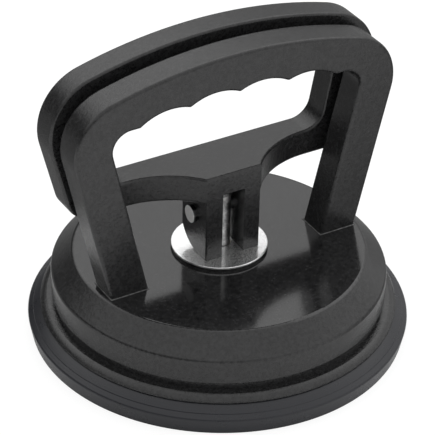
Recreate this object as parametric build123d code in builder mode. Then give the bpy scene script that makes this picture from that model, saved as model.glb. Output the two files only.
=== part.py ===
from build123d import *
from math import atan, cos, degrees, radians, sin
import os

# Vacuum suction lifter: a rubber pad under a cast bell with a fixed handle and a swinging
# lever. The lever's cam turns on a steel washer and pulls a stud that lifts the middle of
# the pad. The object stands on its pad at z = 0, with the pad's axis on Z, the handles
# spanning X and the fixed handle towards -Y. It is modelled with the lever closed.

os.makedirs("parts", exist_ok=True)

# ---------------------------------------------------------------- driving dimensions, mm

# Suction pad
pad_radius = 60.0  # at the upper edge of the lip
lip_taper = 1.1  # the lip is narrower where it meets the surface
lip_height = 5.6
lip_edge_radius = 0.7
lip_width = 4.0  # from the housing's flange to the upper edge of the lip
seat_height = 9.0  # ring that the housing stands on
seat_gap = 0.4  # shadow gap between the pad's shoulder and the housing
seat_setback = 2.4  # of the ring behind the flange's edge
sealing_land = 7.5  # width of the ring that seals on the surface
cavity_height = 5.4  # roof of the vacuum cavity with the lever closed
cavity_bend_radius = 12.0
membrane_root = 6.4  # height of the membrane's upper side at its outer edge
skin_thickness = 2.0  # rubber below the insert plate
spigot_height = 2.5  # ring that centres the pad inside the housing
spigot_width = 2.5

# Insert plate moulded into the pad
insert_radius = 22.0
insert_thickness = 2.5
insert_margin = 2.0  # rubber round the plate, and over its rim
insert_lip_thickness = 0.7
insert_boss_wall = 3.5
insert_boss_height = 4.5

# Housing
flange_edge = 0.6
crown_width = 2.1
crown_height = 2.1
crown_bulge_radius = 3.7
groove_depth = 0.8
groove_fall = 0.2  # the groove's floor rises a little towards the wall
groove_top = 4.4  # above the housing's rim, as are the next two heights
band_height = 12.4
housing_height = 18.9
band_setback = 3.5  # of the band behind the flange's edge
bevel_width = 6.8
bevel_edge_radius = 1.4
groove_edge_radius = 0.4
housing_wall = 3.5
deck_thickness = 4.3
guide_boss_wall = 4.2
guide_boss_depth = 3.7  # below the underside of the deck
rib_count = 8
rib_thickness = 2.5
rib_depth = 3.6
rib_gap = 1.5  # from the spring to the ribs

# Wear washer under the cam, and the low boss it lies on
washer_boss_height = 0.9
washer_overhang = 0.25  # beyond the boss
washer_radius = 15.1
washer_thickness = 0.6
washer_edge_radius = 0.25

# Pull stud, guide bush, pin, nut and spring
stud_radius = 3.3
stud_head_height = 5.2  # above the pin's axis
stud_head_chamfer = 0.8
thread_radius = 3.0
thread_length = 9.5
stud_recess = 1.0  # solid plate below the stud
bush_wall = 2.2
bush_flange_width = 2.5
bush_flange_thickness = 1.4
pin_radius = 2.1
rivet_head_overhang = 0.8
rivet_head_thickness = 1.4
rivet_edge_radius = 0.3
nut_across_flats = 10.0
nut_thickness = 3.2
spring_wire_radius = 0.9
spring_gap = 1.9  # from the guide boss to the inside of the spring
spring_turns = 4

# Fixed handle
handle_front = 10.5  # distance of its front face from the pad's axis
handle_depth = 10.4
handle_foot_setback = 2.2  # of its feet behind the deck's edge
handle_foot_width = 12.8
handle_height = 73.1  # crest above the deck
handle_crown_radius = 154.2
handle_corner_radius = 16.9
handle_inner_corner_radius = 6.0
handle_edge_radius = 1.1
finger_count = 4
finger_pitch = 16.8
finger_depth = 1.9
finger_side = 10.5  # from the last cusp to the corner of the opening
finger_line_radius = 182.0  # arc through the cusps between the fingers
finger_line_drop = 13.2  # of that arc's crest below the handle's
finger_cusp_radius = 0.8

# Lever
lever_gap = 2.8  # between the two handles
lever_depth = 9.0
lever_rise = 2.0  # of its crest above the fixed handle's
lever_overhang = 0.75  # of its sides beyond the fixed handle's, at the crossbar
lever_extra_flare = 1.3  # degrees more than the fixed handle
lever_crown_radius = 158.3
lever_corner_radius = 18.4
lever_lower_corner_radius = 8.0
lever_grip_height = 11.5
lever_opening_inset = 0.6  # of its opening inside the fixed handle's, at the crossbar
lever_opening_flare_cut = 2.7  # degrees less than the fixed handle
lever_inner_corner_radius = 6.7
lever_edge_radius = 0.8
crossbar_thickness = 8.9
crossbar_height = 7.2  # its lower side above the pin
cheek_thickness = 5.7  # of the fork block, each side of its slot
block_front = 8.0
block_edge_radius = 0.5
fork_clearance = 0.5  # between the stud and the slot
fork_height = 9.2  # roof of the slot above the pin

# Motion
pin_height = 13.3  # above the washer
lever_swing = 68.0  # degrees from closed to released
stud_lift = 4.5

# Handle screws
screw_radius = 2.98
screw_length = 20.0
screw_bore_spare = 2.0  # of the tapped hole beyond the screw's end
screw_head_radius = 5.0
screw_head_height = 6.0
screw_socket_flats = 5.0
screw_socket_depth = 3.0
lock_washer_radius = 5.6
lock_washer_thickness = 1.6
screw_boss_wall = 5.0
screw_boss_depth = 4.4  # below the underside of the deck

# Fits
running_clearance = 0.05
thread_clearance = 0.02
hole_clearance = 0.3
cam_clearance = 0.06
press_interference = 0.01

# ---------------------------------------------------------------- derived places

pad_foot_radius = pad_radius - lip_taper
flange_radius = pad_radius - lip_width
shoulder_radius = flange_radius - hole_clearance
crown_radius = flange_radius - crown_width
band_radius = flange_radius - band_setback
groove_radius = band_radius - groove_depth
deck_radius = band_radius - bevel_width
skirt_inner_radius = groove_radius - housing_wall
deck_z = seat_height + housing_height
deck_under_z = deck_z - deck_thickness

bush_radius = stud_radius + bush_wall
guide_boss_radius = bush_radius + guide_boss_wall
guide_boss_z = deck_under_z - guide_boss_depth
spring_radius = guide_boss_radius + spring_gap + spring_wire_radius

washer_seat_z = deck_z + washer_boss_height
washer_top_z = washer_seat_z + washer_thickness
pin_z = washer_top_z + pin_height
cam_reach = pin_height - cam_clearance
cam_rate = stud_lift / radians(lever_swing)

cavity_core_radius = insert_radius + insert_margin
insert_z = cavity_height + skin_thickness
insert_top_z = insert_z + insert_thickness
insert_boss_z = insert_top_z + insert_boss_height
stud_foot_z = insert_z + stud_recess
stud_shoulder_z = stud_foot_z + thread_length

crossbar_z = pin_z + crossbar_height
crossbar_top_z = crossbar_z + crossbar_thickness
handle_back = handle_front - handle_depth
lever_front = lever_gap - handle_back
lever_back = lever_front + lever_depth
fork_half = stud_radius + fork_clearance
block_half = fork_half + cheek_thickness

handle_foot_half = deck_radius - handle_foot_setback
foot_screw_x = handle_foot_half - handle_foot_width / 2
foot_screw_y = -handle_front + handle_depth / 2
foot_screws = [(foot_screw_x, foot_screw_y), (-foot_screw_x, foot_screw_y)]
screw_boss_radius = screw_radius + screw_boss_wall
screw_seat_z = deck_under_z - screw_boss_depth
screw_head_z = screw_seat_z - lock_washer_thickness - screw_head_height


def slope(angle):
    """Run sideways for each millimetre of rise, at an angle in degrees from the vertical."""
    return sin(radians(angle)) / cos(radians(angle))


def nearest_vertices(sketch, *points):
    """The sketch's vertices closest to each of the points."""
    return [sketch.vertices().sort_by_distance(Vector(*point))[0] for point in points]


# ---------------------------------------------------------------- suction pad

seat_outer_radius = flange_radius - seat_setback
spigot_radius = skirt_inner_radius - hole_clearance
land_inner_radius = pad_foot_radius - sealing_land
pad_core_top_z = insert_top_z + insert_lip_thickness

with BuildPart() as suction_pad:
    with BuildSketch(Plane.XZ) as pad_profile:
        with BuildLine():
            Polyline(
                (0, cavity_height),
                (cavity_core_radius, cavity_height),
                (land_inner_radius, 0),
                (pad_foot_radius, 0),
                (pad_radius, lip_height),
                (shoulder_radius, seat_height - seat_gap),
                (seat_outer_radius, seat_height - seat_gap),
                (seat_outer_radius, seat_height),
                (spigot_radius, seat_height),
                (spigot_radius, seat_height + spigot_height),
                (spigot_radius - spigot_width, seat_height + spigot_height),
                (spigot_radius - spigot_width, membrane_root),
                (cavity_core_radius + insert_margin, pad_core_top_z),
                (insert_radius - insert_margin, pad_core_top_z),
                (insert_radius - insert_margin, insert_top_z),
                (insert_radius, insert_top_z),
                (insert_radius, insert_z),
                (0, insert_z),
                close=True,
            )
        make_face()
        fillet(nearest_vertices(pad_profile, (pad_radius, lip_height)), lip_edge_radius)
        cavity_bends = nearest_vertices(
            pad_profile, (cavity_core_radius, cavity_height), (land_inner_radius, 0)
        )
        fillet(cavity_bends, cavity_bend_radius)
    revolve(axis=Axis.Z)

suction_pad.part.label = "suction_pad"
export_step(suction_pad.part, "parts/suction_pad.step")

# ---------------------------------------------------------------- insert plate

with BuildPart() as insert_plate:
    with BuildSketch(Plane.XY.offset(insert_z)):
        Circle(insert_radius)
    extrude(amount=insert_thickness)
    with BuildSketch(Plane.XY.offset(insert_top_z)):
        Circle(thread_radius + insert_boss_wall)
    extrude(amount=insert_boss_height)
    with BuildSketch(Plane.XY.offset(stud_foot_z)):
        Circle(thread_radius + thread_clearance)
    extrude(amount=insert_boss_z - stud_foot_z, mode=Mode.SUBTRACT)

insert_plate.part.label = "insert_plate"
export_step(insert_plate.part, "parts/insert_plate.step")

# ---------------------------------------------------------------- lock nut

nut_corner_ratio = 1.12  # its corners are turned off a little

with BuildPart() as lock_nut:
    with BuildSketch(Plane.XY.offset(insert_boss_z)):
        RegularPolygon(nut_across_flats / 2, 6, major_radius=False)
        Circle(thread_radius + thread_clearance, mode=Mode.SUBTRACT)
    extrude(amount=nut_thickness)
    with BuildSketch(Plane.XY.offset(insert_boss_z)):
        Circle(nut_across_flats / 2 * nut_corner_ratio)
    extrude(amount=nut_thickness, mode=Mode.INTERSECT)

lock_nut.part.label = "lock_nut"
export_step(lock_nut.part, "parts/lock_nut.step")

# ---------------------------------------------------------------- pull stud

with BuildPart() as pull_stud:
    with BuildSketch(Plane.XY.offset(stud_foot_z)):
        Circle(thread_radius)
    extrude(amount=thread_length)
    with BuildSketch(Plane.XY.offset(stud_shoulder_z)):
        Circle(stud_radius)
    extrude(amount=pin_z + stud_head_height - stud_shoulder_z)
    chamfer(pull_stud.edges().group_by(Axis.Z)[-1], stud_head_chamfer)
    with BuildSketch(Plane.YZ):
        with Locations((0, pin_z)):
            Circle(pin_radius - press_interference)
    extrude(amount=stud_radius * 2, both=True, mode=Mode.SUBTRACT)

pull_stud.part.label = "pull_stud"
export_step(pull_stud.part, "parts/pull_stud.step")

# ---------------------------------------------------------------- pivot pin, a solid rivet

rivet_grip = block_half + running_clearance

with BuildPart() as pivot_pin:
    with BuildSketch(Plane.YZ.offset(-rivet_grip)):
        with Locations((0, pin_z)):
            Circle(pin_radius)
    extrude(amount=2 * rivet_grip)
    for head_plane in (Plane.YZ.offset(rivet_grip), Plane.ZY.offset(rivet_grip)):
        with BuildSketch(head_plane):
            with Locations(head_plane.to_local_coords(Vector(0, 0, pin_z))):
                Circle(pin_radius + rivet_head_overhang)
        extrude(amount=rivet_head_thickness)
    rivet_ends = pivot_pin.edges().group_by(Axis.X)
    fillet(rivet_ends[0] + rivet_ends[-1], rivet_edge_radius)

pivot_pin.part.label = "pivot_pin"
export_step(pivot_pin.part, "parts/pivot_pin.step")

# ---------------------------------------------------------------- guide bush

with BuildPart() as guide_bush:
    with BuildSketch(Plane.XY.offset(guide_boss_z - bush_flange_thickness)):
        Circle(bush_radius + bush_flange_width)
    extrude(amount=bush_flange_thickness)
    with BuildSketch(Plane.XY.offset(guide_boss_z)):
        Circle(bush_radius)
    extrude(amount=washer_seat_z - guide_boss_z)
    with BuildSketch(Plane.XY.offset(guide_boss_z - bush_flange_thickness)):
        Circle(stud_radius + running_clearance)
    extrude(amount=washer_seat_z - guide_boss_z + bush_flange_thickness, mode=Mode.SUBTRACT)

guide_bush.part.label = "guide_bush"
export_step(guide_bush.part, "parts/guide_bush.step")

# ---------------------------------------------------------------- return spring

spring_foot_z = insert_top_z + spring_wire_radius
spring_height = deck_under_z - insert_top_z - 2 * spring_wire_radius

with BuildPart() as return_spring:
    with BuildLine() as spring_path:
        Helix(
            pitch=spring_height / spring_turns,
            height=spring_height,
            radius=spring_radius,
            center=(0, 0, spring_foot_z),
        )
    with BuildSketch(Plane(spring_path.line @ 0, z_dir=spring_path.line % 0)):
        Circle(spring_wire_radius)
    sweep(path=spring_path.line, is_frenet=True)

return_spring.part.label = "return_spring"
export_step(return_spring.part, "parts/return_spring.step")

# ---------------------------------------------------------------- housing

bevel_slope = (housing_height - band_height) / (band_radius - deck_radius)
roof_radius = deck_radius - housing_wall
bevel_foot_z = deck_under_z - (skirt_inner_radius - roof_radius) * bevel_slope

rib_start_radius = spring_radius + spring_wire_radius + rib_gap
rib_middle_radius = (rib_start_radius + skirt_inner_radius) / 2
rib_length = skirt_inner_radius - rib_start_radius + housing_wall / 4

with BuildPart() as housing:
    with BuildSketch(Plane.XZ) as housing_profile:
        with BuildLine():
            Polyline(
                (crown_radius, seat_height + crown_height),
                (groove_radius, seat_height + crown_height + groove_fall),
                (groove_radius, seat_height + groove_top),
                (band_radius, seat_height + groove_top),
                (band_radius, seat_height + band_height),
                (deck_radius, deck_z),
                (washer_radius - washer_overhang, deck_z),
                (washer_radius - washer_overhang, washer_seat_z),
                (bush_radius, washer_seat_z),
                (bush_radius, guide_boss_z),
                (guide_boss_radius, guide_boss_z),
                (guide_boss_radius, deck_under_z),
                (roof_radius, deck_under_z),
                (skirt_inner_radius, bevel_foot_z),
                (skirt_inner_radius, seat_height),
                (flange_radius, seat_height),
                (flange_radius, seat_height + flange_edge),
            )
            RadiusArc(
                (flange_radius, seat_height + flange_edge),
                (crown_radius, seat_height + crown_height),
                -crown_bulge_radius,
            )
        make_face()
        soft_corners = nearest_vertices(
            housing_profile, (band_radius, seat_height + band_height), (deck_radius, deck_z)
        )
        fillet(soft_corners, bevel_edge_radius)
        band_foot = (band_radius, seat_height + groove_top)
        crown_crest = (crown_radius, seat_height + crown_height)
        fillet(nearest_vertices(housing_profile, band_foot, crown_crest), groove_edge_radius)
    revolve(axis=Axis.Z)
    with BuildSketch(Plane.XY.offset(deck_under_z - rib_depth)):
        with PolarLocations(rib_middle_radius, rib_count, 180 / rib_count):
            Rectangle(rib_length, rib_thickness)
    extrude(amount=rib_depth + deck_thickness / 4)
    with BuildSketch(Plane.XY.offset(screw_seat_z)):
        with Locations(*foot_screws):
            Circle(screw_boss_radius)
    extrude(amount=screw_boss_depth + deck_thickness / 2)
    with BuildSketch(Plane.XY.offset(screw_seat_z)):
        with Locations(*foot_screws):
            Circle(screw_radius + hole_clearance)
    extrude(amount=deck_z - screw_seat_z, mode=Mode.SUBTRACT)

housing.part.label = "housing"
export_step(housing.part, "parts/housing.step")

# ---------------------------------------------------------------- wear washer

with BuildPart() as wear_washer:
    with BuildSketch(Plane.XY.offset(washer_seat_z)):
        Circle(washer_radius)
        Circle(stud_radius + hole_clearance, mode=Mode.SUBTRACT)
    extrude(amount=washer_thickness)
    fillet(wear_washer.edges().group_by(Axis.Z)[-1].sort_by(SortBy.RADIUS)[-1], washer_edge_radius)

wear_washer.part.label = "wear_washer"
export_step(wear_washer.part, "parts/wear_washer.step")

# ---------------------------------------------------------------- fixed handle

handle_crest_z = deck_z + handle_height
finger_center_z = handle_crest_z - finger_line_drop - finger_line_radius
finger_angle = finger_pitch / finger_line_radius
handle_foot_inner = handle_foot_half - handle_foot_width


def finger_point(step, depth):
    """Point of the finger line, step pitches from the middle and depth above the cusps."""
    angle = step * finger_angle
    reach = finger_line_radius + depth
    return (reach * sin(angle), finger_center_z + reach * cos(angle))


finger_steps = [index - finger_count / 2 for index in range(finger_count)]
first_cusp = finger_point(finger_steps[0], 0)
last_cusp = finger_point(-finger_steps[0], 0)
finger_corner = last_cusp[0] + finger_side
handle_slope = (finger_corner - handle_foot_inner) / (last_cusp[1] - deck_z)
handle_flare = degrees(atan(handle_slope))

screw_tip_z = screw_head_z + screw_head_height + screw_length
screw_bore_depth = screw_tip_z + screw_bore_spare - deck_z

with BuildPart() as fixed_handle:
    with BuildSketch(Plane.XZ.offset(handle_back)) as handle_face:
        with BuildLine():
            handle_top_half = handle_foot_half + handle_height * handle_slope
            Polyline(
                (handle_foot_half, deck_z),
                (handle_top_half, handle_crest_z),
                (-handle_top_half, handle_crest_z),
                (-handle_foot_half, deck_z),
                close=True,
            )
        make_face()
        with Locations((0, handle_crest_z - handle_crown_radius)):
            Circle(handle_crown_radius, mode=Mode.INTERSECT)
        fillet(handle_face.vertices().group_by(Axis.Y)[-1], handle_corner_radius)
        with BuildLine():
            Polyline(
                first_cusp,
                (-finger_corner, last_cusp[1]),
                (-handle_foot_inner, deck_z),
                (handle_foot_inner, deck_z),
                (finger_corner, last_cusp[1]),
                last_cusp,
            )
            for finger_step in finger_steps:
                ThreePointArc(
                    finger_point(finger_step, 0),
                    finger_point(finger_step + 0.5, finger_depth),
                    finger_point(finger_step + 1, 0),
                )
        make_face(mode=Mode.SUBTRACT)
        cusps = [finger_point(finger_step + 1, 0) for finger_step in finger_steps[:-1]]
        fillet(nearest_vertices(handle_face, first_cusp, *cusps, last_cusp), finger_cusp_radius)
        grip_corners = [(-finger_corner, last_cusp[1]), (finger_corner, last_cusp[1])]
        fillet(nearest_vertices(handle_face, *grip_corners), handle_inner_corner_radius)
    extrude(amount=handle_depth)
    face_edges = fixed_handle.edges().group_by(Axis.Y)[0] + fixed_handle.edges().group_by(Axis.Y)[-1]
    foot_edges = fixed_handle.edges().group_by(Axis.Z)[0]
    fillet(face_edges - foot_edges, handle_edge_radius)
    with BuildSketch(Plane.XY.offset(deck_z)):
        with Locations(*foot_screws):
            Circle(screw_radius + thread_clearance)
    extrude(amount=screw_bore_depth, mode=Mode.SUBTRACT)

fixed_handle.part.label = "fixed_handle"
export_step(fixed_handle.part, "parts/fixed_handle.step")

# ---------------------------------------------------------------- handle screws and lock washers

with BuildPart() as handle_screws:
    with BuildSketch(Plane.XY.offset(screw_head_z)):
        with Locations(*foot_screws):
            Circle(screw_head_radius)
    extrude(amount=screw_head_height)
    with BuildSketch(Plane.XY.offset(screw_head_z + screw_head_height)):
        with Locations(*foot_screws):
            Circle(screw_radius)
    extrude(amount=screw_length)
    with BuildSketch(Plane.XY.offset(screw_head_z)):
        with Locations(*foot_screws):
            RegularPolygon(screw_socket_flats / 2, 6, major_radius=False)
    extrude(amount=screw_socket_depth, mode=Mode.SUBTRACT)

handle_screws.part.label = "handle_screws"
export_step(handle_screws.part, "parts/handle_screws.step")

with BuildPart() as handle_lock_washers:
    with BuildSketch(Plane.XY.offset(screw_seat_z - lock_washer_thickness)):
        with Locations(*foot_screws):
            Circle(lock_washer_radius)
        with Locations(*foot_screws):
            Circle(screw_radius + hole_clearance, mode=Mode.SUBTRACT)
    extrude(amount=lock_washer_thickness)

handle_lock_washers.part.label = "handle_lock_washers"
export_step(handle_lock_washers.part, "parts/handle_lock_washers.step")

# ---------------------------------------------------------------- lever

lever_crest_z = handle_crest_z + lever_rise
lever_height = lever_crest_z - crossbar_z
lever_slope = slope(handle_flare + lever_extra_flare)
lever_foot_half = handle_foot_half + (crossbar_z - deck_z) * handle_slope + lever_overhang
opening_height = lever_crest_z - crossbar_top_z
opening_slope = slope(handle_flare - lever_opening_flare_cut)
opening_half = handle_foot_inner + (crossbar_top_z - deck_z) * handle_slope - lever_opening_inset
grip_radius = lever_crown_radius - lever_grip_height
bend_turn = 90 - handle_flare + lever_opening_flare_cut
bend_start = opening_half - lever_inner_corner_radius * slope(bend_turn / 2)
gusset_back = lever_back - 2 * lever_edge_radius
gusset_drop = lever_front + block_front
gusset_run = bend_start - block_half
gusset_radius = (gusset_run**2 + gusset_drop**2) / (2 * gusset_drop)


def cam_point(angle):
    """Point of the cam that rests on the washer when the lever has swung by the angle.

    The cam is an involute, so the stud sinks in proportion to the lever's swing.
    """
    reach = cam_reach - cam_rate * angle
    return (
        reach * sin(angle) - cam_rate * cos(angle),
        pin_z - reach * cos(angle) - cam_rate * sin(angle),
    )


cam_steps = 8
cam_points = [cam_point(radians(lever_swing) * step / cam_steps) for step in range(cam_steps + 1)]
block_back = cam_points[-1][0]

with BuildPart() as fork_block:
    with BuildSketch(Plane.YZ.offset(-block_half)):
        with BuildLine():
            Spline(*cam_points, tangents=[(1, 0), (cos(radians(lever_swing)), sin(radians(lever_swing)))])
            Polyline(
                cam_points[-1],
                (block_back, crossbar_top_z - lever_edge_radius),
                (-block_front, crossbar_top_z - lever_edge_radius),
                (-block_front, cam_points[0][1]),
                cam_points[0],
            )
        make_face()
    extrude(amount=2 * block_half)
    fillet(fork_block.edges().filter_by(Axis.Z).group_by(Axis.Y)[0], block_edge_radius)

with BuildPart() as lever:
    with BuildSketch(Plane.XZ.offset(-lever_back)) as lever_face:
        with BuildLine():
            lever_top_half = lever_foot_half + lever_height * lever_slope
            Polyline(
                (lever_foot_half, crossbar_z),
                (lever_top_half, lever_crest_z),
                (-lever_top_half, lever_crest_z),
                (-lever_foot_half, crossbar_z),
                close=True,
            )
        make_face()
        with Locations((0, lever_crest_z - lever_crown_radius)):
            Circle(lever_crown_radius, mode=Mode.INTERSECT)
        fillet(lever_face.vertices().group_by(Axis.Y)[-1], lever_corner_radius)
        fillet(lever_face.vertices().group_by(Axis.Y)[0], lever_lower_corner_radius)
    extrude(amount=lever_depth)
    with BuildSketch(Plane.XZ.offset(-lever_back)) as lever_opening:
        with BuildLine():
            opening_top_half = opening_half + opening_height * opening_slope
            Polyline(
                (opening_half, crossbar_top_z),
                (opening_top_half, lever_crest_z),
                (-opening_top_half, lever_crest_z),
                (-opening_half, crossbar_top_z),
                close=True,
            )
        make_face()
        with Locations((0, lever_crest_z - lever_crown_radius)):
            Circle(grip_radius, mode=Mode.INTERSECT)
        fillet(lever_opening.vertices(), lever_inner_corner_radius)
    extrude(amount=lever_depth, mode=Mode.SUBTRACT)
    with BuildSketch(Plane.XY.offset(crossbar_z)) as gusset:
        with BuildLine():
            Polyline(
                (-bend_start, lever_front),
                (-bend_start, gusset_back),
                (bend_start, gusset_back),
                (bend_start, lever_front),
            )
            RadiusArc((bend_start, lever_front), (block_half, -block_front), -gusset_radius)
            Line((block_half, -block_front), (-block_half, -block_front))
            RadiusArc((-block_half, -block_front), (-bend_start, lever_front), -gusset_radius)
        make_face()
        block_corners = [(-block_half, -block_front), (block_half, -block_front)]
        fillet(nearest_vertices(gusset, *block_corners), block_edge_radius)
    extrude(amount=crossbar_thickness)
    rims = lever.edges().filter_by(Axis.Z, reverse=True).filter_by(Axis.Y, reverse=True)
    fillet(rims, lever_edge_radius)
    add(fork_block.part)
    with BuildSketch(Plane.XY.offset(cam_points[0][1])):
        Rectangle(2 * fork_half, 4 * block_front)
    extrude(amount=pin_z + fork_height - cam_points[0][1], mode=Mode.SUBTRACT)
    with BuildSketch(Plane.YZ):
        with Locations((0, pin_z)):
            Circle(pin_radius + running_clearance)
    extrude(amount=2 * block_half, both=True, mode=Mode.SUBTRACT)

lever.part.label = "lever"
export_step(lever.part, "parts/lever.step")
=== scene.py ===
from math import cos, pi, radians, sin

import bmesh
import bpy
from mathutils import Matrix, Vector


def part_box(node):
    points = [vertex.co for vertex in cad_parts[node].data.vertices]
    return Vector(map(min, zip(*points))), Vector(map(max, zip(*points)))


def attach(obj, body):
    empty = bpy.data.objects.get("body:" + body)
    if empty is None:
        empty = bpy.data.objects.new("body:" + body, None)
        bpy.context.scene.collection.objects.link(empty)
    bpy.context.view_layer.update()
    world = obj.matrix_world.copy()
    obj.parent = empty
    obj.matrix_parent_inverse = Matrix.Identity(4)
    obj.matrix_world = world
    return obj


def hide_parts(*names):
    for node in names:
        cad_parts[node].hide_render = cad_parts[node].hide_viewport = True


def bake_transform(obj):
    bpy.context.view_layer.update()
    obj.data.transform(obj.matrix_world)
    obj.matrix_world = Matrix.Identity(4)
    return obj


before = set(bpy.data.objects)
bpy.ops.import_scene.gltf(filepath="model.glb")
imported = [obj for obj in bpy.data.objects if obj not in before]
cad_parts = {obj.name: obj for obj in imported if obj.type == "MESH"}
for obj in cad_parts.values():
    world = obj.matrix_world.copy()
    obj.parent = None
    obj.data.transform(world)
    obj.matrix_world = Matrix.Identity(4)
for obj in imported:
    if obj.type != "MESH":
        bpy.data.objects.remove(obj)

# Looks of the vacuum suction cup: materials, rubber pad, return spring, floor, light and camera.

MM = 0.001

CAMERA_AZIMUTH = radians(-31.11)

# Level directions in the studio, seen from the main view: to the right, and away behind the cup.
LEVEL = Vector((cos(CAMERA_AZIMUTH), sin(CAMERA_AZIMUTH), 0))
AWAY = Vector((-sin(CAMERA_AZIMUTH), cos(CAMERA_AZIMUTH), 0))

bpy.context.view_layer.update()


# ---------------------------------------------------------------- helpers


def smooth_step(value):
    """Eases 0 to 1."""
    value = min(max(value, 0.0), 1.0)
    return value * value * (3 - 2 * value)


def feed(tree, socket, value):
    """Links another node's output to a socket, or sets a plain value on it."""
    if isinstance(value, bpy.types.NodeSocket):
        tree.links.new(value, socket)
    else:
        socket.default_value = value


def node(tree, kind, inputs=None, **settings):
    """Adds a shader node, sets its properties, and sets or links its inputs."""
    made = tree.nodes.new(kind)
    for name, value in settings.items():
        setattr(made, name, value)
    for name, value in (inputs or {}).items():
        feed(tree, made.inputs[name], value)
    return made


def new_material(name):
    """An empty node material, with its tree, its output node and its object coordinates."""
    material = bpy.data.materials.new(name)
    material.use_nodes = True
    tree = material.node_tree
    tree.nodes.clear()
    output = node(tree, "ShaderNodeOutputMaterial")
    place = node(tree, "ShaderNodeTexCoord").outputs["Object"]
    return material, tree, output, place


def noise(tree, place, scale, detail=2.0, roughness=0.5):
    """Value of a noise texture with so many cells to the metre."""
    inputs = {"Vector": place, "Scale": scale, "Detail": detail, "Roughness": roughness}
    return node(tree, "ShaderNodeTexNoise", inputs).outputs["Fac"]


def remap(tree, value, low, high, to_low, to_high):
    """Value moved from one range to another, and held inside it."""
    inputs = {"Value": value, "From Min": low, "From Max": high, "To Min": to_low, "To Max": to_high}
    return node(tree, "ShaderNodeMapRange", inputs).outputs["Result"]


def mix_colors(tree, factor, first, second):
    """Colour between two colours."""
    made = node(tree, "ShaderNodeMix", data_type="RGBA")
    tree.links.new(factor, made.inputs["Factor"])
    made.inputs["A"].default_value = (*first, 1)
    made.inputs["B"].default_value = (*second, 1)
    return made.outputs["Result"]


def mix_values(tree, factor, first, second):
    """Number between two numbers."""
    made = node(tree, "ShaderNodeMix", data_type="FLOAT")
    for socket, value in zip(("Factor", "A", "B"), (factor, first, second)):
        feed(tree, made.inputs[socket], value)
    return made.outputs["Result"]


def math(tree, operation, first, second=0.0):
    """Result of one sum on two values."""
    made = node(tree, "ShaderNodeMath", operation=operation)
    for socket, value in zip(made.inputs, (first, second)):
        feed(tree, socket, value)
    return made.outputs["Value"]


def height_of(tree, place):
    """Height of a point, in metres."""
    return node(tree, "ShaderNodeSeparateXYZ", {"Vector": place}).outputs["Z"]


def distance_along(tree, place, direction):
    """How far a point or a direction reaches along a unit vector."""
    inputs = {0: place, 1: direction}
    return node(tree, "ShaderNodeVectorMath", inputs, operation="DOT_PRODUCT").outputs["Value"]


def bump(tree, height, distance, strength=1.0, normal=None):
    """Surface normal tilted by a height given from 0 to 1, over a distance in metres."""
    made = node(tree, "ShaderNodeBump", {"Height": height, "Distance": distance, "Strength": strength})
    if normal:
        tree.links.new(normal, made.inputs["Normal"])
    return made.outputs["Normal"]


def radius_from_axis(tree, place):
    """Distance of a point from the Z axis, in metres."""
    flat = node(tree, "ShaderNodeVectorMath", {0: place, 1: (1, 1, 0)}, operation="MULTIPLY")
    length = node(tree, "ShaderNodeVectorMath", {0: flat.outputs["Vector"]}, operation="LENGTH")
    return length.outputs["Value"]


def finish_material(tree, output, **inputs):
    """Puts a Principled shader on the material's output."""
    names = {name.replace("_", " "): value for name, value in inputs.items()}
    shader = node(tree, "ShaderNodeBsdfPrincipled", names)
    tree.links.new(shader.outputs["BSDF"], output.inputs["Surface"])
    return shader


# ---------------------------------------------------------------- materials

COAT_GRAIN = 0.08 * MM

def powder_coat(name, smooth_above=None):
    """Black powder coat over a casting: fine grain, faint waves of the casting, uneven gloss.

    Above the height smooth_above, in metres, the coat is glossy and has hardly any grain.
    """
    material, tree, output, place = new_material(name)
    grain = noise(tree, place, 1300, detail=3, roughness=0.7)
    pits = noise(tree, place, 4200, detail=1)
    waves = noise(tree, place, 70, detail=1)
    mottle = noise(tree, place, 800, detail=4, roughness=0.7)
    shade = remap(tree, mottle, 0.3, 0.7, 0, 1)
    color = mix_colors(tree, shade, (0.007, 0.007, 0.0073), (0.029, 0.029, 0.0296))
    unevenness = math(tree, "ADD", grain, mottle)
    roughness = remap(tree, unevenness, 0.6, 1.4, 0.11, 0.20)
    strength = 1.0
    if smooth_above is not None:
        smoothness = remap(tree, height_of(tree, place), smooth_above - 0.4 * MM, smooth_above, 0, 1)
        glossy = remap(tree, unevenness, 0.6, 1.4, 0.08, 0.15)
        roughness = mix_values(tree, smoothness, roughness, glossy)
        strength = remap(tree, smoothness, 0, 1, 1, 0.05)
    coat = bump(tree, waves, 0.00012, strength)
    coat = bump(tree, grain, COAT_GRAIN, strength, normal=coat)
    coat = bump(tree, pits, COAT_GRAIN / 3, strength, normal=coat)
    finish_material(tree, output, Base_Color=color, Roughness=roughness, Normal=coat, IOR=1.5)
    return material


def rubber():
    """Dark blue-grey moulded rubber, with faint rings from the turned mould and a little bloom."""
    material, tree, output, place = new_material("rubber")
    bloom = noise(tree, place, 130, detail=5, roughness=0.7)
    grain = noise(tree, place, 2600, detail=2)
    rings = math(tree, "SINE", math(tree, "MULTIPLY", radius_from_axis(tree, place), 9000))
    color = mix_colors(tree, bloom, (0.008, 0.0088, 0.0125), (0.015, 0.0158, 0.0205))
    roughness = remap(tree, bloom, 0.3, 0.7, 0.24, 0.36)
    skin = bump(tree, grain, 0.00003)
    skin = bump(tree, rings, 0.000002, normal=skin)
    finish_material(tree, output, Base_Color=color, Roughness=roughness, Normal=skin, IOR=1.5)
    return material


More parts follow.
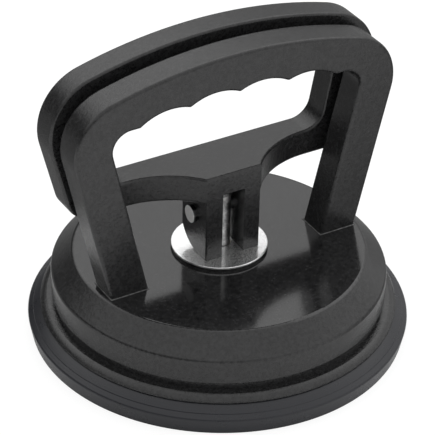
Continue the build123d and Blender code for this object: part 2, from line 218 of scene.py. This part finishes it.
def polished_steel():
    """Polished washer, hazed by fine rings of wear from the cam."""
    material, tree, output, place = new_material("polished_steel")
    radius = radius_from_axis(tree, place)
    along = {"W": radius, "Scale": 9000, "Detail": 3}
    rings = node(tree, "ShaderNodeTexNoise", along, noise_dimensions="1D")
    smears = noise(tree, place, 260, detail=4)
    haze = noise(tree, place, 6000, detail=1)
    color = mix_colors(tree, smears, (0.84, 0.84, 0.84), (0.93, 0.93, 0.93))
    roughness = remap(tree, haze, 0.42, 0.52, 0.08, 0.50)
    turned = bump(tree, rings.outputs["Fac"], 0.000003)
    finish_material(tree, output, Base_Color=color, Roughness=roughness, Normal=turned, Metallic=1.0)
    return material


def turned_steel():
    """Zinc-plated turned steel: feed marks, speckles and uneven sheen."""
    material, tree, output, place = new_material("turned_steel")
    speckle = noise(tree, place, 1300, detail=4, roughness=0.8)
    stain = noise(tree, place, 260, detail=3)
    feed_marks = math(tree, "SINE", math(tree, "MULTIPLY", height_of(tree, place), 16000))
    blotch = remap(tree, math(tree, "ADD", speckle, stain), 0.85, 1.25, 0, 1)
    color = mix_colors(tree, blotch, (0.36, 0.36, 0.36), (0.95, 0.95, 0.94))
    roughness = remap(tree, stain, 0.3, 0.7, 0.28, 0.48)
    turned = bump(tree, feed_marks, 0.000008)
    turned = bump(tree, speckle, 0.00005, normal=turned)
    finish_material(tree, output, Base_Color=color, Roughness=roughness, Normal=turned, Metallic=1.0)
    return material


def rivet_steel():
    """Rivet with finely hammered ends, coloured by the way each face points: bright ends as painted
    light, and a dark shank and rim as painted shade.
    """
    material, tree, output, place = new_material("rivet_steel")
    hammered = noise(tree, place, 1100, detail=3)
    facing = node(tree, "ShaderNodeNewGeometry").outputs["Normal"]
    across = node(tree, "ShaderNodeSeparateXYZ", {"Vector": facing}).outputs["X"]
    # Colour by facing: the end faces are painted bright as if lit, and the shank and rim are painted dark
    # as shade.
    end_face = remap(tree, math(tree, "ABSOLUTE", across), 0.55, 0.9, 0, 1)
    bright = mix_colors(tree, hammered, (0.92, 0.92, 0.92), (1.0, 1.0, 0.99))
    dark = mix_colors(tree, hammered, (0.10, 0.10, 0.105), (0.22, 0.22, 0.22))
    color = node(tree, "ShaderNodeMix", data_type="RGBA")
    for socket, value in (("Factor", end_face), ("A", dark), ("B", bright)):
        tree.links.new(value, color.inputs[socket])
    roughness = remap(tree, end_face, 0, 1, 0.20, 0.60)
    skin = bump(tree, hammered, 0.00004)
    finish_material(
        tree, output, Base_Color=color.outputs["Result"], Roughness=roughness, Normal=skin, Metallic=1.0
    )
    return material


def spring_steel():
    """Drawn and oiled spring wire."""
    material, tree, output, place = new_material("spring_steel")
    scale = noise(tree, place, 700, detail=4, roughness=0.7)
    color = mix_colors(tree, scale, (0.16, 0.16, 0.17), (0.42, 0.42, 0.42))
    roughness = remap(tree, scale, 0.3, 0.7, 0.28, 0.45)
    drawn = bump(tree, scale, 0.00002)
    finish_material(tree, output, Base_Color=color, Roughness=roughness, Normal=drawn, Metallic=1.0)
    return material


def nylon():
    """Natural nylon, clouded and scuffed."""
    material, tree, output, place = new_material("nylon")
    cloud = noise(tree, place, 180, detail=4)
    scuffs = noise(tree, place, 2400, detail=2)
    color = mix_colors(tree, cloud, (0.62, 0.59, 0.50), (0.74, 0.71, 0.62))
    roughness = remap(tree, scuffs, 0.3, 0.7, 0.38, 0.52)
    skin = bump(tree, scuffs, 0.00002)
    finish_material(tree, output, Base_Color=color, Roughness=roughness, Normal=skin, IOR=1.53)
    return material


deck_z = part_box("fixed_handle")[0].z
rubber_skin = rubber()
handle_coat = powder_coat("powder_coat_handles")
steel = turned_steel()
wire = spring_steel()

finishes = {
    "housing": powder_coat("powder_coat_housing", smooth_above=deck_z - 0.1 * MM),
    "fixed_handle": handle_coat,
    "lever": handle_coat,
    "wear_washer": polished_steel(),
    "pull_stud": steel,
    "pivot_pin": rivet_steel(),
    "insert_plate": steel,
    "lock_nut": steel,
    "handle_screws": steel,
    "handle_lock_washers": wire,
    "guide_bush": nylon(),
}
for name, finish in finishes.items():
    for material_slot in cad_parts[name].material_slots:
        material_slot.material = finish


# ---------------------------------------------------------------- rubber pad

PAD_STEPS = 192
PAD_CORE_RADIUS = 24.5 * MM
PAD_STILL_RADIUS = 45.0 * MM

# Radius, height and rounding of each corner of the pad's section, in mm, from the cavity's roof round
# the lip and back over the insert plate.
PAD_SECTION = [
    (0.0, 5.4, 0.0),
    (24.0, 5.4, 12.0),
    (51.4, 0.0, 12.0),
    (58.9, 0.0, 0.6),
    (60.0, 5.5, 0.9),
    (58.3, 6.62, 0.08),
    (58.2, 6.86, 0.08),
    (55.7, 8.6, 0.25),
    (53.6, 8.6, 0.2),
    (53.6, 9.0, 0.1),
    (47.9, 9.0, 0.2),
    (47.9, 11.5, 0.4),
    (45.4, 11.5, 0.4),
    (45.4, 6.4, 0.6),
    (26.0, 10.6, 0.4),
    (20.0, 10.6, 0.2),
    (20.0, 9.9, 0.0),
    (22.0, 9.9, 0.0),
    (22.0, 7.4, 0.0),
    (0.0, 7.4, 0.0),
]


def corner_arc(before, corner, after, radius):
    """Points of the arc that rounds a corner between two neighbours."""
    if radius == 0:
        return [corner]
    to_before = (before - corner).normalized()
    to_after = (after - corner).normalized()
    half = to_before.angle(to_after) / 2
    middle = corner + (to_before + to_after).normalized() * radius / sin(half)
    tangent = radius * cos(half) / sin(half)
    start = corner + to_before * tangent - middle
    end = corner + to_after * tangent - middle
    steps = max(3, round(start.angle(end) / radians(11)))
    directions = [start.slerp(end, step / steps) for step in range(steps + 1)]
    return [middle + direction.normalized() * radius for direction in directions]


def rounded_section(corners, longest):
    """Section with its corners rounded, and with no two points further apart than the longest step."""
    points = [Vector((r, z)) * MM for r, z, rounding in corners]
    drawn = [points[0]]
    for index in range(1, len(points) - 1):
        before, corner, after = points[index - 1 : index + 2]
        drawn += corner_arc(before, corner, after, corners[index][2] * MM)
    drawn.append(points[-1])
    section = [drawn[0]]
    for start, end in zip(drawn, drawn[1:]):
        parts = max(1, round((end - start).length / longest))
        section += [start.lerp(end, part / parts) for part in range(1, parts + 1)]
    return section


def add_object(name, mesh, sharp_angle):
    """Scene object of a bmesh, smooth apart from its sharp edges."""
    bmesh.ops.remove_doubles(mesh, verts=mesh.verts, dist=1e-7)
    bmesh.ops.recalc_face_normals(mesh, faces=mesh.faces)
    for face in mesh.faces:
        face.smooth = True
    data = bpy.data.meshes.new(name)
    mesh.to_mesh(data)
    mesh.free()
    data.set_sharp_from_angle(angle=radians(sharp_angle))
    made = bpy.data.objects.new(name, data)
    bpy.context.collection.objects.link(made)
    return made


def revolved(name, section, steps):
    """Object turned about the Z axis from points of radius and height."""
    mesh = bmesh.new()
    columns = []
    for step in range(steps):
        turn = 2 * pi * step / steps
        columns.append([mesh.verts.new((r * cos(turn), r * sin(turn), z)) for r, z in section])
    for column, following in zip(columns, columns[1:] + columns[:1]):
        for row in range(len(section) - 1):
            corners = [column[row], following[row], following[row + 1], column[row + 1]]
            if section[row].x == 0:
                corners.pop(1)
            elif section[row + 1].x == 0:
                corners.pop(2)
            mesh.faces.new(corners)
    return add_object(name, mesh, 40)


def set_blend(piece, weight_of):
    """Works out each vertex's share of the second body's motion; the shares are not stored on the piece.
    """
    weights = [weight_of(vertex.co) for vertex in piece.data.vertices]


def pad_share(point):
    """Share of the stud's motion for a point of the pad: all of it in the middle, none at the rim."""
    radius = point.xy.length
    return smooth_step((PAD_STILL_RADIUS - radius) / (PAD_STILL_RADIUS - PAD_CORE_RADIUS))


pad = revolved("rubber_pad", rounded_section(PAD_SECTION, 3 * MM), PAD_STEPS)
pad.data.materials.append(rubber_skin)
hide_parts("suction_pad")
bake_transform(pad)
set_blend(pad, pad_share)


# ---------------------------------------------------------------- return spring

SPRING_WIRE_RADIUS = 0.9 * MM
SPRING_TURNS = 4
SPRING_STEPS = 48
WIRE_STEPS = 14

spring_low, spring_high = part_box("return_spring")
spring_radius = (spring_high.x - spring_low.x) / 2 - SPRING_WIRE_RADIUS
spring_foot = spring_low.z + SPRING_WIRE_RADIUS
spring_rise = spring_high.z - spring_low.z - 2 * SPRING_WIRE_RADIUS


def spring_coil():
    """Object of a round wire wound into a helix, with its ends closed."""
    mesh = bmesh.new()
    rings = []
    for step in range(SPRING_TURNS * SPRING_STEPS + 1):
        turn = 2 * pi * step / SPRING_STEPS
        outward = Vector((cos(turn), sin(turn), 0))
        climb = spring_rise * step / (SPRING_TURNS * SPRING_STEPS)
        middle = outward * spring_radius + Vector((0, 0, spring_foot + climb))
        ring = []
        for part in range(WIRE_STEPS):
            angle = 2 * pi * part / WIRE_STEPS
            offset = outward * cos(angle) + Vector((0, 0, sin(angle)))
            ring.append(mesh.verts.new(middle + offset * SPRING_WIRE_RADIUS))
        rings.append(ring)
    for ring, following in zip(rings, rings[1:]):
        for part in range(WIRE_STEPS):
            beside = (part + 1) % WIRE_STEPS
            mesh.faces.new((ring[part], ring[beside], following[beside], following[part]))
    mesh.faces.new(rings[0])
    mesh.faces.new(list(reversed(rings[-1])))
    return add_object("spring_coil", mesh, 50)


def spring_share(point):
    """Share of the stud's motion for a point of the spring: all of it at the foot, none at the top."""
    return min(max((spring_high.z - point.z) / (spring_high.z - spring_low.z), 0.0), 1.0)


spring = spring_coil()
spring.data.materials.append(wire)
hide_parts("return_spring")
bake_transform(spring)
set_blend(spring, spring_share)


# ---------------------------------------------------------------- seams round the handle's feet, coloured as a painted highlight

SEAM_RADIUS = 0.22 * MM
SEAM_STEPS = 8
FOOT_TOLERANCE = 0.01 * MM


def painted_seam_highlight():
    """Pale colour on the seam bead under each foot: a painted highlight along the joint."""
    material, tree, output, place = new_material("seam_painted_highlight")
    highlight_flecks = noise(tree, place, 900, detail=4, roughness=0.75)
    # Pale colour painted as a highlight along the joint under the foot.
    color = mix_colors(tree, remap(tree, highlight_flecks, 0.35, 0.6, 0, 1), (0.03, 0.03, 0.03), (0.16, 0.16, 0.16))
    roughness = remap(tree, highlight_flecks, 0.3, 0.7, 0.25, 0.5)
    skin = bump(tree, highlight_flecks, 0.00003)
    finish_material(tree, output, Base_Color=color, Roughness=roughness, Normal=skin, IOR=1.5)
    return material


def seam(name, low, high):
    """Thin round bead along the four sides of a foot, on the deck."""
    mesh = bmesh.new()
    corners = [(low.x, low.y), (high.x, low.y), (high.x, high.y), (low.x, high.y)]
    outward = [(-1, -1), (1, -1), (1, 1), (-1, 1)]
    rings = []
    for (x, y), (out_x, out_y) in zip(corners, outward):
        ring = []
        for step in range(SEAM_STEPS):
            turn = 2 * pi * step / SEAM_STEPS
            reach = SEAM_RADIUS * cos(turn)
            rise = SEAM_RADIUS * sin(turn)
            ring.append(mesh.verts.new((x + out_x * reach, y + out_y * reach, low.z + rise)))
        rings.append(ring)
    for ring, following in zip(rings, rings[1:] + rings[:1]):
        for step in range(SEAM_STEPS):
            beside = (step + 1) % SEAM_STEPS
            mesh.faces.new((ring[step], ring[beside], following[beside], following[step]))
    made = add_object(name, mesh, 60)
    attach(made, "housing")
    return made


handle_low, handle_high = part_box("fixed_handle")
seam_highlight_paint = painted_seam_highlight()
handle_points = [vertex.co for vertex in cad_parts["fixed_handle"].data.vertices]
foot_points = [point for point in handle_points if point.z < handle_low.z + FOOT_TOLERANCE]
for side, sign in (("left", -1), ("right", 1)):
    ends = sorted(point.x for point in foot_points if point.x * sign > 0)
    foot_low = Vector((ends[0], handle_low.y, handle_low.z))
    foot_high = Vector((ends[-1], handle_high.y, handle_low.z))
    seam("foot_seam_" + side, foot_low, foot_high).data.materials.append(seam_highlight_paint)


# ---------------------------------------------------------------- floor

FLOOR_HALF_WIDTH = 4.0

def floor_material():
    """White studio paper, exposed to near white.

    What the cup reflects of it has painted light and shade in its colour: bright in front and close by,
    and darker further off and behind.
    """
    material, tree, output, place = new_material("studio_paper")
    seen = node(tree, "ShaderNodeLightPath").outputs["Is Camera Ray"]
    fibre = noise(tree, place, 900, detail=3)
    # Painted light and shade for reflections: bright in front of the cup and close round it, painted
    # shade further off and behind.
    in_front = remap(tree, distance_along(tree, place, AWAY), -0.06, 0.01, 0.97, 0.22)
    close_by = remap(tree, radius_from_axis(tree, place), 0.066, 0.085, 0.97, 0.22)
    lit = math(tree, "MAXIMUM", in_front, close_by)
    shaded = math(tree, "MULTIPLY", lit, remap(tree, fibre, 0.3, 0.7, 0.97, 1.0))
    shade = mix_values(tree, seen, shaded, 0.16)
    glow = mix_values(tree, seen, 0.0, 0.88)
    finish_material(
        tree, output, Base_Color=shade, Roughness=0.9, Emission_Color=(1, 1, 1, 1), Emission_Strength=glow
    )
    return material


def studio_floor(half):
    """Flat floor, square, under the whole scene."""
    mesh = bmesh.new()
    corners = [(-half, -half), (half, -half), (half, half), (-half, half)]
    mesh.faces.new([mesh.verts.new((x, y, 0)) for x, y in corners])
    made = add_object("floor", mesh, 30)
    made.data.materials.append(floor_material())
    return made


studio_floor(FLOOR_HALF_WIDTH)


# ---------------------------------------------------------------- light


def studio_surround():
    """White ceiling, brightest behind the cup, over walls dark on the left and lit on the right."""
    world = bpy.data.worlds.new("studio")
    world.use_nodes = True
    tree = world.node_tree
    tree.nodes.clear()
    output = node(tree, "ShaderNodeOutputWorld")
    facing = node(tree, "ShaderNodeTexCoord").outputs["Generated"]
    height = height_of(tree, facing)
    ceiling = remap(tree, distance_along(tree, facing, AWAY), -0.2, 0.6, 0.95, 1.75)
    above_walls = remap(tree, height, sin(radians(21)), sin(radians(38)), 0, 1)
    low_walls = remap(tree, distance_along(tree, facing, LEVEL), -0.3, 0.8, 0.10, 0.85)
    walls = mix_values(tree, above_walls, low_walls, ceiling)
    seen = node(tree, "ShaderNodeLightPath").outputs["Is Camera Ray"]
    strength = mix_values(tree, seen, walls, 1.0)
    light = node(tree, "ShaderNodeBackground", {"Strength": strength})
    light.inputs["Color"].default_value = (1, 1, 1, 1)
    tree.links.new(light.outputs["Background"], output.inputs["Surface"])
    bpy.context.scene.world = world


studio_surround()
bpy.context.scene.view_settings.view_transform = "Standard"


# ---------------------------------------------------------------- camera

CAMERA_VIEW = radians(11.143)
CAMERA_DISTANCE = 0.6887
CAMERA_ELEVATION = radians(33.16)
CAMERA_ROLL = radians(1.43)
CAMERA_TARGET = (-0.62, 0.37, 37.96)

upright = Vector((0, 0, 1))
back = upright * sin(CAMERA_ELEVATION) - AWAY * cos(CAMERA_ELEVATION)
above = AWAY * sin(CAMERA_ELEVATION) + upright * cos(CAMERA_ELEVATION)
across = LEVEL * cos(CAMERA_ROLL) + above * sin(CAMERA_ROLL)
over = above * cos(CAMERA_ROLL) - LEVEL * sin(CAMERA_ROLL)

lens = bpy.data.cameras.new("camera")
lens.sensor_fit = "AUTO"
lens.angle = CAMERA_VIEW
lens.clip_start = 0.01
camera = bpy.data.objects.new("camera", lens)
camera.matrix_world = Matrix((across, over, back)).transposed().to_4x4()
camera.location = Vector(CAMERA_TARGET) * MM + back * CAMERA_DISTANCE
bpy.context.collection.objects.link(camera)
bpy.context.scene.camera = camera
